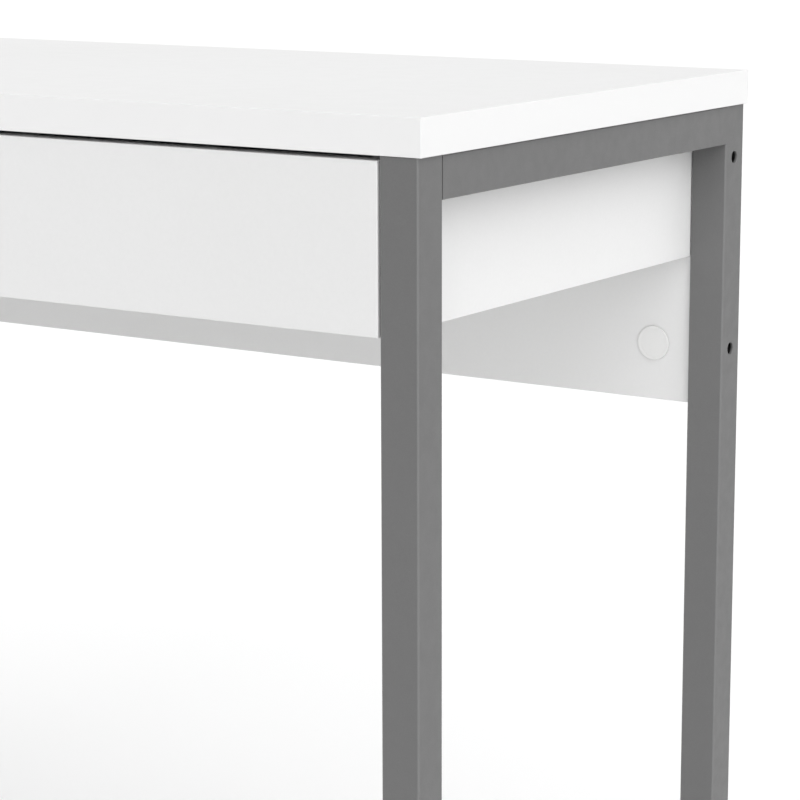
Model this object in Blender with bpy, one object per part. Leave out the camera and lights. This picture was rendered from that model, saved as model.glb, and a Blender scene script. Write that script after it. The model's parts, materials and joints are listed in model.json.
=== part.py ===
"""A narrow desk with a drawer under its top: steel tube legs, white boards, and a drawer on roller runners.

Metres, +Z up. The origin is on the floor under the middle of the desktop. The drawer opens towards -Y, and
+X is on the right of someone who faces it. Every piece is an object of its own, in its place when the drawer
is shut. The drawer's pieces hang from the empty drawer_carriage, which slides along -Y, and each roller's
origin is on its axle.
"""

import math

import bmesh
import bpy
from mathutils import Vector

# The whole desk
DESK_WIDTH = 1.000
DESK_DEPTH = 0.400
DESK_HEIGHT = 0.750
TOP_THICKNESS = 0.022
BOARD = 0.016
GAP = 0.0003
BOARD_EDGE = 0.0006

# Steel frame
TUBE = 0.025
TUBE_WALL = 0.0015
TUBE_CORNER = 0.001
TUBE_INNER_CORNER = 0.0004
SIDE_OVERHANG = 0.0025
FRONT_OVERHANG = 0.001
GLIDE_HEIGHT = 0.005
GLIDE_PLUG = 0.016

# Case around the drawer
CASE_DROP = 0.101
BACK_PANEL_DROP = 0.201
STOP_SPACE = 0.002

# Fasteners of the frame and the case
BOLT_DROPS = {"upper": 0.0345, "lower": 0.1625}
BOLT_ACCESS_RADIUS = 0.004
BOLT_SHANK_RADIUS = 0.002
BOLT_HEAD_RADIUS = 0.0035
BOLT_HEAD_HEIGHT = 0.004
CAM_INSET = 0.0283
CAM_RADIUS = 0.0095
CAM_DEPTH = 0.0125
CAM_SINK = 0.0004
CAP_RADIUS = 0.0117
CAP_HEIGHT = 0.001
CAP_RIM = 0.0006
SCREW_SPAN = 0.260
PANEL_SCREW_SPAN = 0.300
SCREW_CLEARANCE = 0.0003

# Screws: length, head radius, head height, shank radius
DESKTOP_SCREW = (0.038, 0.0042, 0.0024, 0.0022)
PANEL_SCREW = (0.025, 0.0040, 0.0022, 0.0020)
RUNNER_SCREW = (0.014, 0.0035, 0.0010, 0.0017)

# Drawer front
FRONT_TOP_GAP = 0.003
FRONT_SIDE_GAP = 0.0015

# Drawer box
RUNNER_SPACE = 0.0127
DRAWER_BOARD = 0.012
DRAWER_LENGTH = 0.350
DRAWER_SIDE_HEIGHT = 0.068
FINGER_GRIP = 0.011
BOTTOM_BOARD = 0.003
BOTTOM_RAISE = 0.006
GROOVE_DEPTH = 0.006
STIFFENER_WIDTH = 0.040
DRAWER_CAM_RADIUS = 0.0073
DRAWER_CAM_DEPTH = 0.009
DRAWER_CAM_INSET = 0.024
CAM_BOLT_RADIUS = 0.0025
CAM_BOLT_DEPTH = 0.010
BACK_INSET = 0.001

# Roller runners
RUNNER_LENGTH = 0.350
RUNNER_STEEL = 0.0012
RUNNER_SETBACK = 0.003
RUNNER_FLANGE_REACH = 0.0105
CARRY_FLANGE_START = 0.0022
CASE_ROLLER_INSET = 0.0070
DRAWER_ROLLER_INSET = 0.0072
DRAWER_AXLE_LENGTH = 0.009
FRONT_RUNNER_SCREW = 0.045
REAR_RUNNER_SCREW = 0.060
ROLLER_END_SPACE = 0.014
ROLLER_WIDTH = 0.006
AXLE_RADIUS = 0.002
AXLE_HEAD_RADIUS = 0.0034
AXLE_HEAD_HEIGHT = 0.0008
AXLE_CLEARANCE = 0.0001
CASE_ROLLER_RADIUS = 0.0093
DRAWER_ROLLER_RADIUS = 0.008
TRACK_HEIGHT = 0.017
TRACK_PLAY = 0.0002
STOP_DROP = 0.003
STOP_START = 0.0035
DRAWER_TRAVEL = 0.262

# How far a cutter starts outside the surface that it cuts
OVERCUT = 0.001

# Sides of a round shape: a screw or a narrow hole, and a cap, an axle or a wide hole
SMALL_STEPS = 12
ROUND_STEPS = 24

SIDES = {"left": -1, "right": 1}
ENDS = {"front": -1, "rear": 1}

# Worked out from the sizes above
UNDERSIDE = DESK_HEIGHT - TOP_THICKNESS
LEG_X = DESK_WIDTH / 2 - SIDE_OVERHANG - TUBE / 2
LEG_Y = DESK_DEPTH / 2 - FRONT_OVERHANG - TUBE / 2
FRAME_TOP = UNDERSIDE - GAP
LEG_INNER_X = LEG_X - TUBE / 2
CASE_OUTER_X = LEG_INNER_X - GAP
CASE_INNER_X = CASE_OUTER_X - BOARD
CASE_BOTTOM = UNDERSIDE - CASE_DROP
FRONT_FACE_Y = -DESK_DEPTH / 2 + FRONT_OVERHANG
FRONT_BACK_Y = FRONT_FACE_Y + BOARD
CASE_FRONT_Y = FRONT_BACK_Y + STOP_SPACE
BACK_PANEL_Y = LEG_Y - BOARD / 2
DRAWER_OUTER_X = CASE_INNER_X - RUNNER_SPACE
DRAWER_INNER_X = DRAWER_OUTER_X - DRAWER_BOARD
DRAWER_START_Y = FRONT_BACK_Y + GAP
DRAWER_END_Y = DRAWER_START_Y + DRAWER_LENGTH
DRAWER_BACK_Y = DRAWER_END_Y - BACK_INSET
DRAWER_SIDE_BOTTOM = CASE_BOTTOM + FINGER_GRIP
DRAWER_SIDE_TOP = DRAWER_SIDE_BOTTOM + DRAWER_SIDE_HEIGHT
BOTTOM_Z = DRAWER_SIDE_BOTTOM + BOTTOM_RAISE
TRACK_Z = DRAWER_SIDE_BOTTOM
RUNNER_START_Y = CASE_FRONT_Y + RUNNER_SETBACK
RUNNER_END_Y = RUNNER_START_Y + RUNNER_LENGTH
CARRY_Z = TRACK_Z + TRACK_HEIGHT + 2 * RUNNER_STEEL
CASE_ROLLER_Y = RUNNER_START_Y + ROLLER_END_SPACE
CASE_ROLLER_Z = CARRY_Z - GAP - CASE_ROLLER_RADIUS
DRAWER_ROLLER_Y = DRAWER_END_Y - ROLLER_END_SPACE
DRAWER_ROLLER_Z = TRACK_Z + TRACK_PLAY + DRAWER_ROLLER_RADIUS


def clear_scene():
    for item in list(bpy.data.objects):
        bpy.data.objects.remove(item)


def material(name, colour, roughness, metallic=0.0):
    made = bpy.data.materials.new(name)
    made.use_nodes = True
    shader = made.node_tree.nodes["Principled BSDF"]
    shader.inputs["Base Color"].default_value = (*colour, 1)
    shader.inputs["Roughness"].default_value = roughness
    shader.inputs["Metallic"].default_value = metallic
    return made


# ---- making one piece ----


def new_object(name, bm, surface, place=(0, 0, 0), carriage=None):
    """An object of its own from a bmesh, at a place in the world, hung from the carriage if one is given."""
    bmesh.ops.recalc_face_normals(bm, faces=bm.faces)
    mesh = bpy.data.meshes.new(name)
    bm.to_mesh(mesh)
    bm.free()
    piece = bpy.data.objects.new(name, mesh)
    bpy.context.scene.collection.objects.link(piece)
    if surface:
        mesh.materials.append(surface)
    piece.parent = carriage
    piece.location = Vector(place) - (carriage.location if carriage else Vector())
    return piece


def point_along(piece, direction):
    """Turns the piece so that its own +Z lies along the direction."""
    piece.rotation_euler = Vector(direction).to_track_quat("Z", "Y").to_euler()


def smooth_round(piece):
    piece.data.shade_smooth()
    piece.data.set_sharp_from_angle(angle=math.radians(35))


def block(name, low, high, surface, carriage=None, edge=0.0):
    """A board from its lowest to its highest corner, with its edges eased by a bevel."""
    low, high = Vector(low), Vector(high)
    bm = bmesh.new()
    bmesh.ops.create_cube(bm, size=1)
    bmesh.ops.scale(bm, vec=high - low, verts=bm.verts)
    piece = new_object(name, bm, surface, (low + high) / 2, carriage)
    if edge:
        bevel = piece.modifiers.new("eased_edges", "BEVEL")
        bevel.width = edge
        bevel.segments = 2
    return piece


def turned(name, profile, surface, place, direction, steps=16, carriage=None):
    """A round piece: the outline (radius, height) turned about the piece's own Z."""
    bm = bmesh.new()
    points = [bm.verts.new((radius, 0, height)) for radius, height in profile]
    lines = [bm.edges.new(pair) for pair in zip(points, points[1:])]
    bmesh.ops.spin(bm, geom=points + lines, axis=(0, 0, 1), angle=math.tau, steps=steps, use_merge=True)
    bmesh.ops.remove_doubles(bm, verts=bm.verts, dist=1e-6)
    piece = new_object(name, bm, surface, place, carriage)
    point_along(piece, direction)
    smooth_round(piece)
    return piece


def extruded(name, outline, length, surface, place, carriage=None):
    """A profile with its outline in X and Z, run along +Y from the place."""
    bm = bmesh.new()
    face = bm.faces.new([bm.verts.new((x, 0, z)) for x, z in outline])
    moved = bmesh.ops.extrude_face_region(bm, geom=[face])["geom"]
    ends = [item for item in moved if isinstance(item, bmesh.types.BMVert)]
    bmesh.ops.translate(bm, vec=(0, length, 0), verts=ends)
    return new_object(name, bm, surface, place, carriage)


def rounded_square(side, radius, steps=2):
    """Corner points of a square with round corners, about its middle."""
    straight = side / 2 - radius
    points = []
    for corner in range(4):
        middle = math.radians(45 + 90 * corner)
        centre_x = straight * math.copysign(1, math.cos(middle))
        centre_y = straight * math.copysign(1, math.sin(middle))
        for step in range(steps + 1):
            angle = math.radians(90 * corner + 90 * step / steps)
            points.append((centre_x + radius * math.cos(angle), centre_y + radius * math.sin(angle)))
    return points


def stacked_squares(bm, sections, closed):
    """Rings of a rounded square, one for each (side, corner radius, height), joined one to the next."""
    rings = []
    for side, radius, height in sections:
        rings.append([bm.verts.new((x, y, height)) for x, y in rounded_square(side, radius)])
    last = rings[:1] if closed else []
    for ring, following in zip(rings, rings[1:] + last):
        for i in range(len(ring)):
            bm.faces.new((ring[i - 1], ring[i], following[i], following[i - 1]))
    if not closed:
        bm.faces.new(rings[0])
        bm.faces.new(rings[-1])


def square_tube(name, length, surface, place, direction):
    """A square steel tube, open at both ends, that starts at the place and runs along the direction."""
    bm = bmesh.new()
    outside = (TUBE, TUBE_CORNER)
    inside = (TUBE - 2 * TUBE_WALL, TUBE_INNER_CORNER)
    stacked_squares(bm, [(*outside, 0), (*outside, length), (*inside, length), (*inside, 0)], closed=True)
    piece = new_object(name, bm, surface, place)
    point_along(piece, direction)
    smooth_round(piece)
    return piece


# ---- cutting holes and pockets, and adding lugs ----


def combine(piece, operand, operation):
    operand.hide_render = True
    operand.display_type = "WIRE"
    step = piece.modifiers.new(operand.name, "BOOLEAN")
    step.operation = operation
    step.object = operand


def cut(piece, cutter):
    combine(piece, cutter, "DIFFERENCE")


def hole(piece, mouth, direction, radius, depth, steps=16):
    """A round hole from the mouth along the direction. It starts a little outside the surface."""
    bm = bmesh.new()
    bmesh.ops.create_cone(bm, cap_ends=True, segments=steps, radius1=radius, radius2=radius, depth=depth)
    bmesh.ops.translate(bm, vec=(0, 0, depth / 2), verts=bm.verts)
    cutter = new_object(f"cut_{piece.name}_hole_{len(piece.modifiers)}", bm, None, mouth, piece.parent)
    point_along(cutter, direction)
    cut(piece, cutter)


def pocket(piece, low, high):
    cut(piece, block(f"cut_{piece.name}_pocket_{len(piece.modifiers)}", low, high, None, piece.parent))


def recess(piece, outline, depth, head_height):
    """A driver's recess in the top of a head, in the piece's own axes."""
    bm = bmesh.new()
    face = bm.faces.new([bm.verts.new((x, y, head_height - depth)) for x, y in outline])
    moved = bmesh.ops.extrude_face_region(bm, geom=[face])["geom"]
    ends = [item for item in moved if isinstance(item, bmesh.types.BMVert)]
    bmesh.ops.translate(bm, vec=(0, 0, depth + head_height), verts=ends)
    cutter = new_object(f"cut_{piece.name}_recess", bm, None)
    cutter.parent = piece.parent
    cutter.location = piece.location
    cutter.rotation_euler = piece.rotation_euler
    cut(piece, cutter)


def hexagon(radius):
    return [(radius * math.cos(math.tau * i / 6), radius * math.sin(math.tau * i / 6)) for i in range(6)]


def cross(reach, width):
    """Outline of a cross recess: four arms of one reach and width."""
    half = width / 2
    arm = [(half, half), (reach, half), (reach, -half), (half, -half)]
    turns = [(1, 0), (0, -1), (-1, 0), (0, 1)]
    points = []
    for c, s in turns:
        points += [(x * c - y * s, x * s + y * c) for x, y in arm[:3]]
    return points


# ---- fasteners ----


def wood_screw(name, seat, outward, sizes, surface):
    """A flat-headed screw. The seat is under its head, outward is the way its head faces."""
    length, head_radius, head_height, shank_radius = sizes
    point_length = 2 * shank_radius
    profile = [
        (0, head_height),
        (head_radius * 0.8, head_height),
        (head_radius, head_height * 0.4),
        (head_radius, 0),
        (shank_radius, 0),
        (shank_radius, point_length - length),
        (0, -length),
    ]
    screw = turned(name, profile, surface, seat, outward, SMALL_STEPS)
    recess(screw, cross(head_radius * 0.55, head_radius * 0.25), head_height * 0.6, head_height)
    return screw


def socket_bolt(name, seat, outward, length, surface):
    """A cylinder-head bolt with a hexagon socket. The seat is under its head."""
    chamfer = 0.0003
    profile = [
        (0, BOLT_HEAD_HEIGHT),
        (BOLT_HEAD_RADIUS - chamfer, BOLT_HEAD_HEIGHT),
        (BOLT_HEAD_RADIUS, BOLT_HEAD_HEIGHT - chamfer),
        (BOLT_HEAD_RADIUS, 0),
        (BOLT_SHANK_RADIUS, 0),
        (BOLT_SHANK_RADIUS, -length),
        (0, -length),
    ]
    bolt = turned(name, profile, surface, seat, outward)
    recess(bolt, hexagon(0.0017), 0.002, BOLT_HEAD_HEIGHT)
    return bolt


def cam(name, face, outward, radius, depth, bore, bolt_from, surface, carriage=None):
    """A cam that clamps the head of a bolt: a disc with a cross recess, bored from its rim for the bolt.

    The face is the middle of its outer face, the bore is its radius and its depth under that face, and
    bolt_from is the way its bolt comes in.
    """
    bore_radius, bore_depth = bore
    chamfer = 0.0005
    profile = [(0, 0), (radius - chamfer, 0), (radius, -chamfer), (radius, -depth), (0, -depth)]
    disc = turned(name, profile, surface, face, outward, 20, carriage)
    recess(disc, cross(radius * 0.5, radius * 0.2), 0.002, 0)
    reach = radius + OVERCUT
    bore_start = Vector(face) - Vector(outward) * bore_depth + Vector(bolt_from) * reach
    hole(disc, bore_start, -Vector(bolt_from), bore_radius, reach, SMALL_STEPS)
    return disc


# ---- the desk ----


def make_desktop(white):
    half_width, half_depth = DESK_WIDTH / 2, DESK_DEPTH / 2
    low = (-half_width, -half_depth, UNDERSIDE)
    return block("desktop", low, (half_width, half_depth, DESK_HEIGHT), white, edge=BOARD_EDGE)


def make_glide(name, x, y, plastic):
    """A plastic foot: a pad under the leg and a plug that fills the tube's end."""
    bm = bmesh.new()
    pad = (TUBE, TUBE_CORNER)
    plug = (TUBE - 2 * TUBE_WALL - 2 * GAP, TUBE_INNER_CORNER)
    top = GLIDE_HEIGHT + GLIDE_PLUG
    stacked_squares(bm, [(*pad, 0), (*pad, GLIDE_HEIGHT), (*plug, GLIDE_HEIGHT), (*plug, top)], closed=False)
    return new_object(name, bm, plastic, (x, y, 0))


def make_legs(grey, plastic):
    legs = {}
    bottom = GLIDE_HEIGHT + GAP
    for end, back in ENDS.items():
        for side, out in SIDES.items():
            place = (out * LEG_X, back * LEG_Y, bottom)
            name = f"leg_{end}_{side}"
            legs[end, side] = square_tube(name, FRAME_TOP - bottom, grey, place, (0, 0, 1))
            make_glide(f"floor_glide_{end}_{side}", place[0], place[1], plastic)
    return legs


def make_side_rails(grey, zinc, desktop):
    """The tubes that join the legs at each end of the desk, with the screws that hold the desktop."""
    rails = {}
    start = -LEG_Y + TUBE / 2 + GAP
    clearance = DESKTOP_SCREW[3] + SCREW_CLEARANCE
    bite = 0.015
    for side, out in SIDES.items():
        place = (out * LEG_X, start, FRAME_TOP - TUBE / 2)
        rail = square_tube(f"side_rail_{side}", -2 * start, grey, place, (0, 1, 0))
        for end, back in ENDS.items():
            seat = Vector((out * LEG_X, back * SCREW_SPAN / 2, FRAME_TOP - TUBE - GAP))
            wood_screw(f"desktop_screw_{end}_{side}", seat, (0, 0, -1), DESKTOP_SCREW, zinc)
            below = seat - Vector((0, 0, OVERCUT))
            hole(rail, below, (0, 0, 1), clearance, TUBE + 3 * OVERCUT, SMALL_STEPS)
            hole(desktop, below + Vector((0, 0, TUBE)), (0, 0, 1), clearance, bite + OVERCUT, SMALL_STEPS)
        rails[side] = rail
    return rails


def make_side_panels(white, zinc, rails):
    """The boards at the ends of the drawer's case, screwed to the rails from inside."""
    panels = {}
    height = FRAME_TOP - TUBE / 2
    clearance = PANEL_SCREW[3] + SCREW_CLEARANCE
    depth = PANEL_SCREW[0] + 2 * OVERCUT
    for side, out in SIDES.items():
        xs = sorted((out * CASE_INNER_X, out * CASE_OUTER_X))
        low = (xs[0], CASE_FRONT_Y, CASE_BOTTOM)
        high = (xs[1], BACK_PANEL_Y - GAP, FRAME_TOP)
        panel = block(f"side_panel_{side}", low, high, white, edge=BOARD_EDGE)
        for end, back in ENDS.items():
            seat = Vector((out * (CASE_INNER_X - GAP), back * PANEL_SCREW_SPAN / 2, height))
            wood_screw(f"side_panel_screw_{end}_{side}", seat, (-out, 0, 0), PANEL_SCREW, zinc)
            mouth = seat - Vector((out * OVERCUT, 0, 0))
            for board in (panel, rails[side]):
                hole(board, mouth, (out, 0, 0), clearance, depth, SMALL_STEPS)
        panels[side] = panel
    return panels


def make_back_panel(white, zinc, plastic, legs):
    """The board between the rear legs. Bolts pass through the legs into its cams, which round caps cover."""
    half = CASE_OUTER_X
    low = (-half, BACK_PANEL_Y, UNDERSIDE - BACK_PANEL_DROP)
    panel = block("back_panel", low, (half, BACK_PANEL_Y + BOARD, FRAME_TOP), white, edge=BOARD_EDGE)
    bolt_y = BACK_PANEL_Y + BOARD / 2
    shank_hole = BOLT_SHANK_RADIUS + SCREW_CLEARANCE
    bore = (shank_hole, BOARD / 2 - CAM_SINK)
    bolt_length = CAM_INSET + TUBE_WALL + GAP - CAM_RADIUS / 2
    for height, drop in BOLT_DROPS.items():
        z = UNDERSIDE - drop
        for side, out in SIDES.items():
            inward = (-out, 0, 0)
            leg = legs["rear", side]
            seat = Vector((out * (LEG_INNER_X + TUBE_WALL + GAP), bolt_y, z))
            socket_bolt(f"back_panel_bolt_{height}_{side}", seat, (out, 0, 0), bolt_length, zinc)
            access = Vector((out * (LEG_X + TUBE / 2 + OVERCUT), bolt_y, z))
            hole(leg, access, inward, BOLT_ACCESS_RADIUS, TUBE / 2, ROUND_STEPS)
            inside_leg = seat + Vector((out * OVERCUT, 0, 0))
            hole(leg, inside_leg, inward, shank_hole, TUBE_WALL + 3 * OVERCUT, SMALL_STEPS)
            bore_mouth = Vector((out * (half + OVERCUT), bolt_y, z))
            hole(panel, bore_mouth, inward, shank_hole, CAM_INSET, SMALL_STEPS)
            cam_x = out * (LEG_INNER_X - CAM_INSET)
            face = Vector((cam_x, BACK_PANEL_Y + CAM_SINK, z))
            name = f"back_panel_cam_{height}_{side}"
            cam(name, face, (0, -1, 0), CAM_RADIUS, CAM_DEPTH, bore, (out, 0, 0), zinc)
            cam_mouth = Vector((cam_x, BACK_PANEL_Y - OVERCUT, z))
            cam_hole = CAM_SINK + CAM_DEPTH + GAP + OVERCUT
            hole(panel, cam_mouth, (0, 1, 0), CAM_RADIUS + GAP, cam_hole, ROUND_STEPS)
            make_cap(f"cam_cap_{height}_{side}", (cam_x, BACK_PANEL_Y - GAP, z), plastic)


def make_cap(name, place, plastic):
    """A thin round cap over a cam, with a domed edge."""
    steps = 2
    profile = [(0, CAP_HEIGHT)]
    for step in range(steps + 1):
        angle = math.pi / 2 * step / steps
        radius = CAP_RADIUS - CAP_RIM + CAP_RIM * math.sin(angle)
        profile.append((radius, CAP_HEIGHT - CAP_RIM + CAP_RIM * math.cos(angle)))
    profile += [(CAP_RADIUS, 0), (0, 0)]
    return turned(name, profile, plastic, place, (0, -1, 0), ROUND_STEPS)


# ---- the drawer ----


def make_drawer_front(white, carriage):
    half = LEG_INNER_X - FRONT_SIDE_GAP
    low = (-half, FRONT_FACE_Y, CASE_BOTTOM)
    high = (half, FRONT_BACK_Y, UNDERSIDE - FRONT_TOP_GAP)
    front = block("drawer_front", low, high, white, carriage, BOARD_EDGE)
    groove_half = DRAWER_INNER_X + GROOVE_DEPTH
    low = (-groove_half, FRONT_BACK_Y - GROOVE_DEPTH, BOTTOM_Z - GAP)
    pocket(front, low, (groove_half, FRONT_BACK_Y + OVERCUT, BOTTOM_Z + BOTTOM_BOARD + GAP))
    return front


def make_drawer_box(white, hardboard, zinc, front, carriage):
    """Sides, back, bottom and stiffener."""
    groove_top = BOTTOM_Z + BOTTOM_BOARD + GAP
    for side, out in SIDES.items():
        xs = sorted((out * DRAWER_INNER_X, out * DRAWER_OUTER_X))
        low = (xs[0], DRAWER_START_Y, DRAWER_SIDE_BOTTOM)
        high = (xs[1], DRAWER_END_Y, DRAWER_SIDE_TOP)
        board = block(f"drawer_side_{side}", low, high, white, carriage, BOARD_EDGE)
        groove = sorted((out * (DRAWER_INNER_X - OVERCUT), out * (DRAWER_INNER_X + GROOVE_DEPTH)))
        low = (groove[0], DRAWER_START_Y - OVERCUT, BOTTOM_Z - GAP)
        pocket(board, low, (groove[1], DRAWER_END_Y + OVERCUT, groove_top))
        join_drawer_corner(side, out, front, board, zinc, carriage)

    half = DRAWER_INNER_X - GAP
    low = (-half, DRAWER_BACK_Y - DRAWER_BOARD, groove_top)
    block("drawer_back", low, (half, DRAWER_BACK_Y, DRAWER_SIDE_TOP), white, carriage, BOARD_EDGE)
    half = DRAWER_INNER_X + GROOVE_DEPTH - GAP
    low = (-half, FRONT_BACK_Y - GROOVE_DEPTH + GAP, BOTTOM_Z)
    block("drawer_bottom", low, (half, DRAWER_BACK_Y, BOTTOM_Z + BOTTOM_BOARD), hardboard, carriage)
    half = STIFFENER_WIDTH / 2
    low = (-half, DRAWER_START_Y, DRAWER_SIDE_BOTTOM)
    block("drawer_stiffener", low, (half, DRAWER_BACK_Y, BOTTOM_Z - GAP), white, carriage, BOARD_EDGE)


def join_drawer_corner(side, out, front, board, zinc, carriage):
    """A cam in the drawer's side pulls on a bolt in the front, which lies in the middle of the side."""
    bolt_x = out * (DRAWER_INNER_X + DRAWER_BOARD / 2)
    bolt_line = Vector((bolt_x, 0, (DRAWER_SIDE_BOTTOM + DRAWER_SIDE_TOP) / 2))
    bolt_hole = CAM_BOLT_RADIUS + SCREW_CLEARANCE
    face = Vector((out * (DRAWER_INNER_X + CAM_SINK), FRONT_BACK_Y + DRAWER_CAM_INSET, bolt_line.z))
    bore = (bolt_hole, DRAWER_BOARD / 2 - CAM_SINK)
    name = f"drawer_cam_{side}"
    cam(name, face, (-out, 0, 0), DRAWER_CAM_RADIUS, DRAWER_CAM_DEPTH, bore, (0, -1, 0), zinc, carriage)
    mouth = face - Vector((out * (CAM_SINK + OVERCUT), 0, 0))
    cam_hole = OVERCUT + CAM_SINK + DRAWER_CAM_DEPTH + GAP
    hole(board, mouth, (out, 0, 0), DRAWER_CAM_RADIUS + GAP, cam_hole, ROUND_STEPS)

    start = bolt_line + Vector((0, FRONT_BACK_Y - CAM_BOLT_DEPTH, 0))
    reach = CAM_BOLT_DEPTH + DRAWER_CAM_INSET - DRAWER_CAM_RADIUS * 0.4
    make_cam_bolt(f"drawer_cam_bolt_{side}", start, reach, zinc, carriage)
    hole(board, bolt_line + Vector((0, FRONT_BACK_Y - OVERCUT, 0)), (0, 1, 0), bolt_hole, DRAWER_CAM_INSET)
    hole(front, start - Vector((0, GAP, 0)), (0, 1, 0), bolt_hole, CAM_BOLT_DEPTH + 2 * OVERCUT)


def make_cam_bolt(name, start, reach, zinc, carriage):
    """A bolt screwed into the drawer front, with a waist and a button that its cam grips."""
    radius = CAM_BOLT_RADIUS
    waist = radius * 0.6
    profile = [
        (0, 0),
        (radius, 0.001),
        (radius, reach - 0.005),
        (waist, reach - 0.004),
        (waist, reach - 0.002),
        (radius, reach - 0.0015),
        (radius, reach - 0.0003),
        (0, reach),
    ]
    return turned(name, profile, zinc, start, (0, 1, 0), SMALL_STEPS, carriage)


# ---- the runners ----


def case_runner_outline(out):
    """Half-box section on the side panel: a web, a track below and a flange above."""
    steel = RUNNER_STEEL
    web = GAP
    inner = web + steel
    reach = RUNNER_FLANGE_REACH
    section = [
        (web, -steel),
        (reach, -steel),
        (reach, 0),
        (inner, 0),
        (inner, TRACK_HEIGHT),
        (reach, TRACK_HEIGHT),
        (reach, TRACK_HEIGHT + steel),
        (web, TRACK_HEIGHT + steel),
    ]
    return [(-out * across, height) for across, height in section]


def drawer_runner_outline(out):
    """Stepped section on the drawer: a foot under its side, a web beside it and a flange over the roller."""
    steel = RUNNER_STEEL
    outer = RUNNER_SPACE - GAP - steel
    inner = RUNNER_SPACE - GAP
    foot = RUNNER_SPACE + DRAWER_BOARD
    carry = CARRY_Z - TRACK_Z
    section = [
        (CARRY_FLANGE_START, carry),
        (outer, carry),
        (outer, -GAP - steel),
        (foot, -GAP - steel),
        (foot, -GAP),
        (inner, -GAP),
        (inner, carry + steel),
        (CARRY_FLANGE_START, carry + steel),
    ]
    return [(-out * across, height) for across, height in section]


def make_axle(name, x, y, z, outward, web, length, steel, carriage=None):
    """A pin riveted in a runner's web. Its head keeps the roller on.

    It starts at the back of the web, at x, and outward is the way it sticks out.
    """
    chamfer = 0.0003
    profile = [
        (0, 0),
        (AXLE_RADIUS, 0),
        (AXLE_RADIUS, length - AXLE_HEAD_HEIGHT),
        (AXLE_HEAD_RADIUS, length - AXLE_HEAD_HEIGHT),
        (AXLE_HEAD_RADIUS, length - chamfer),
        (AXLE_HEAD_RADIUS - chamfer, length),
        (0, length),
    ]
    turned(name, profile, steel, (x, y, z), outward, ROUND_STEPS, carriage)
    mouth = Vector((x, y, z)) - Vector(outward) * OVERCUT
    hole(web, mouth, outward, AXLE_RADIUS + SCREW_CLEARANCE, RUNNER_STEEL + 2 * OVERCUT)


def make_roller(name, x, y, z, radius, nylon, carriage=None):
    """A wheel about X with its origin on its axle: a rounded tread, a hollow in each face and a bore."""
    half = ROLLER_WIDTH / 2
    bore = AXLE_RADIUS + AXLE_CLEARANCE
    hub = bore + 0.0016
    rim = radius - 0.0018
    dish = half - 0.0008
    edge = 0.0005
    profile = [
        (bore, -half),
        (hub, -half),
        (hub, -dish),
        (rim, -dish),
        (rim, -half),
        (radius - edge, -half),
        (radius, -half + edge),
        (radius, half - edge),
        (radius - edge, half),
        (rim, half),
        (rim, dish),
        (hub, dish),
        (hub, half),
        (bore, half),
        (bore, -half),
    ]
    return turned(name, profile, nylon, (x, y, z), (1, 0, 0), 20, carriage)


def make_runners(coated, zinc, nylon, panels, carriage):
    case_axle = RUNNER_SPACE - 4 * GAP - RUNNER_STEEL
    for side, out in SIDES.items():
        place = (out * CASE_INNER_X, RUNNER_START_Y, TRACK_Z)
        rail = extruded(f"case_runner_{side}", case_runner_outline(out), RUNNER_LENGTH, coated, place)
        open_for_roller(rail, out)
        add_stop(rail, out)
        x = out * (CASE_INNER_X - 2 * GAP)
        name = f"case_roller_axle_{side}"
        make_axle(name, x, CASE_ROLLER_Y, CASE_ROLLER_Z, (-out, 0, 0), rail, case_axle, zinc)
        x = out * (CASE_INNER_X - CASE_ROLLER_INSET)
        make_roller(f"case_roller_{side}", x, CASE_ROLLER_Y, CASE_ROLLER_Z, CASE_ROLLER_RADIUS, nylon)
        make_runner_screws(side, out, rail, panels[side], zinc)

        place = (out * CASE_INNER_X, DRAWER_START_Y, TRACK_Z)
        outline = drawer_runner_outline(out)
        member = extruded(f"drawer_runner_{side}", outline, DRAWER_LENGTH, coated, place, carriage)
        y, z = DRAWER_ROLLER_Y, DRAWER_ROLLER_Z
        x = out * (DRAWER_OUTER_X + 2 * GAP)
        name = f"drawer_roller_axle_{side}"
        make_axle(name, x, y, z, (out, 0, 0), member, DRAWER_AXLE_LENGTH, zinc, carriage)
        x = out * (CASE_INNER_X - DRAWER_ROLLER_INSET)
        make_roller(f"drawer_roller_{side}", x, y, z, DRAWER_ROLLER_RADIUS, nylon, carriage)


def open_for_roller(rail, out):
    """Takes the case runner's flanges away around its roller and leaves the web."""
    xs = sorted((out * (CASE_INNER_X - GAP - RUNNER_STEEL), out * (CASE_INNER_X - RUNNER_SPACE)))
    low = (xs[0], RUNNER_START_Y - OVERCUT, TRACK_Z - 2 * RUNNER_STEEL)
    end = CASE_ROLLER_Y + CASE_ROLLER_RADIUS + 2 * OVERCUT
    pocket(rail, low, (xs[1], end, TRACK_Z + TRACK_HEIGHT + 2 * RUNNER_STEEL))


def add_stop(rail, out):
    """A lug under the case runner's upper flange, where the drawer's roller stops at full travel."""
    above_axle = TRACK_HEIGHT - STOP_DROP - TRACK_PLAY - DRAWER_ROLLER_RADIUS
    reach = math.sqrt(DRAWER_ROLLER_RADIUS**2 - above_axle**2)
    back = DRAWER_ROLLER_Y - DRAWER_TRAVEL - reach - GAP
    end = RUNNER_FLANGE_REACH - 0.0005
    xs = sorted((out * (CASE_INNER_X - STOP_START), out * (CASE_INNER_X - end)))
    low = (xs[0], back - RUNNER_STEEL, TRACK_Z + TRACK_HEIGHT - STOP_DROP)
    high = (xs[1], back, TRACK_Z + TRACK_HEIGHT + RUNNER_STEEL / 2)
    combine(rail, block(f"{rail.name}_stop", low, high, None), "UNION")


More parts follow.
